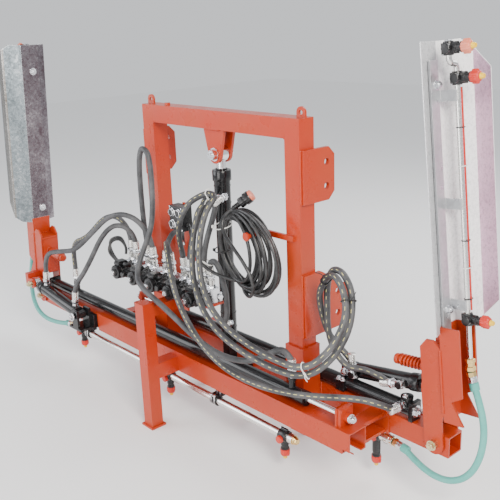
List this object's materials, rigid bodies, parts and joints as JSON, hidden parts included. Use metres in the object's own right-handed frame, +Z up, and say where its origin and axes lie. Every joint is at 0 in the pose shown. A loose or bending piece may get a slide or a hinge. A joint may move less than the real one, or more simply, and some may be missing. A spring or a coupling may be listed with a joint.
{
  "type": "shielded hydraulic spray boom",
  "caption": "Tractor-mounted strip-spraying boom: telescoping booms under a lifting portal, with tilting shielded spray arms, hydraulic cylinders, hoses and valve bank.",
  "frame": {"origin": "on the ground below the centre of the box round the machine, hoses and cable left out", "axes": "+X along the booms towards the right arm, +Y away from the valve side towards the tractor plates, +Z up"},
  "size_m": [1.8542, 0.37, 1.0819],
  "materials": {
    "orange_paint": "gloss orange-red enamel",
    "black_paint": "gloss black enamel",
    "galvanised": "galvanised, spangled",
    "steel": "bright drawn steel",
    "chrome_rod": "polished hard chrome",
    "hose_rubber": "satin black hose cover",
    "spray_hose": "green hose cover",
    "black_plastic": "matte black",
    "red_plastic": "gloss red",
    "cable": "black cable sheath"
  },
  "bodies": {
    "carriage": {"front_rail": "orange_paint", "rear_rail": "orange_paint", "bridges": "orange_paint", "left_guide": "orange_paint", "right_guide": "orange_paint", "rear_legs": "orange_paint", "leg": "orange_paint", "valve_shelf": "orange_paint", "valve_blocks": "galvanised", "solenoids": "black_paint", "lift_barrel": "black_paint", "feed_rods": "chrome_rod", "rod_posts": "orange_paint", "cable_block": "black_plastic", "lift_hoses": "hose_rubber", "left_hoses": "hose_rubber", "right_hoses": "hose_rubber"},
    "portal": {"left_post": "orange_paint", "right_post": "orange_paint", "top_beam": "orange_paint", "beam_clevis": "orange_paint", "lift_rod": "chrome_rod", "left_hitch_plates": "orange_paint", "right_hitch_plates": "orange_paint", "cable_coil": "cable", "cable_plug": "black_plastic"},
    "left_boom": {"left_tube": "orange_paint", "left_barrel": "black_paint", "left_brackets": "galvanised", "front_pipe": "steel", "front_nozzles": "black_plastic", "front_caps": "red_plastic", "left_spray_hose": "spray_hose"},
    "right_boom": {"right_tube": "orange_paint", "right_barrel": "black_paint", "right_brackets": "galvanised", "rear_pipe": "steel", "rear_nozzles": "black_plastic", "rear_caps": "red_plastic", "right_spray_hose": "spray_hose"},
    "left_cylinder": {"left_tilt_barrel": "black_paint"},
    "left_piston": {"left_tilt_rod": "chrome_rod"},
    "right_cylinder": {"right_tilt_barrel": "black_paint"},
    "right_piston": {"right_tilt_rod": "chrome_rod"},
    "left_arm": {"left_mast": "orange_paint", "left_pins": "steel", "left_buffer": "orange_paint", "left_shield": "galvanised", "left_strap": "galvanised", "left_riser": "steel", "left_nozzles": "black_plastic", "left_caps": "red_plastic"},
    "right_arm": {"right_mast": "orange_paint", "right_pins": "steel", "right_buffer": "orange_paint", "right_shield": "galvanised", "right_strap": "galvanised", "right_riser": "steel", "right_nozzles": "black_plastic", "right_caps": "red_plastic"}
  },
  "joints": [
    {"name": "portal_lift", "type": "slide", "parent": "carriage", "child": "portal", "axis": [0, 0, 1], "range_m": [0, 0.18]},
    {"name": "left_boom_slide", "type": "slide", "parent": "carriage", "child": "left_boom", "axis": [-1, 0, 0], "range_m": [0, 0.3], "deforming": ["left_hoses"]},
    {"name": "right_boom_slide", "type": "slide", "parent": "carriage", "child": "right_boom", "axis": [1, 0, 0], "range_m": [0, 0.3], "deforming": ["right_hoses"]},
    {"name": "left_arm_tilt", "type": "hinge", "parent": "left_boom", "child": "left_arm", "pos_m": [-0.81, -0.043, 0.18], "axis": [0, -1, 0], "range_deg": [0, 30], "deforming": ["left_spray_hose"]},
    {"name": "right_arm_tilt", "type": "hinge", "parent": "right_boom", "child": "right_arm", "pos_m": [0.81, 0.103, 0.18], "axis": [0, 1, 0], "range_deg": [0, 30], "deforming": ["right_spray_hose"]},
    {"name": "left_cylinder_pivot", "type": "hinge", "parent": "left_boom", "child": "left_cylinder", "pos_m": [-0.47, -0.109, 0.205], "axis": [0, 1, 0], "range_deg": [-0.1, 0.75]},
    {"name": "left_piston_slide", "type": "slide", "parent": "left_cylinder", "child": "left_piston", "axis": [-0.9911, 0, 0.1328], "range_m": [0, 0.0395]},
    {"name": "right_cylinder_pivot", "type": "hinge", "parent": "right_boom", "child": "right_cylinder", "pos_m": [0.526, 0.111, 0.262], "axis": [0, 1, 0], "range_deg": [-0.1, 2.1]},
    {"name": "right_piston_slide", "type": "slide", "parent": "right_cylinder", "child": "right_piston", "axis": [0.9875, 0, 0.1575], "range_m": [0, 0.066]}
  ],
  "couplings": [
    {"joint": "left_cylinder_pivot", "follows": "left_arm_tilt", "ratio": 0.02},
    {"joint": "left_piston_slide", "follows": "left_arm_tilt", "m_per_rad": 0.0731},
    {"joint": "right_cylinder_pivot", "follows": "right_arm_tilt", "ratio": 0.062},
    {"joint": "right_piston_slide", "follows": "right_arm_tilt", "m_per_rad": 0.1235}
  ]
}
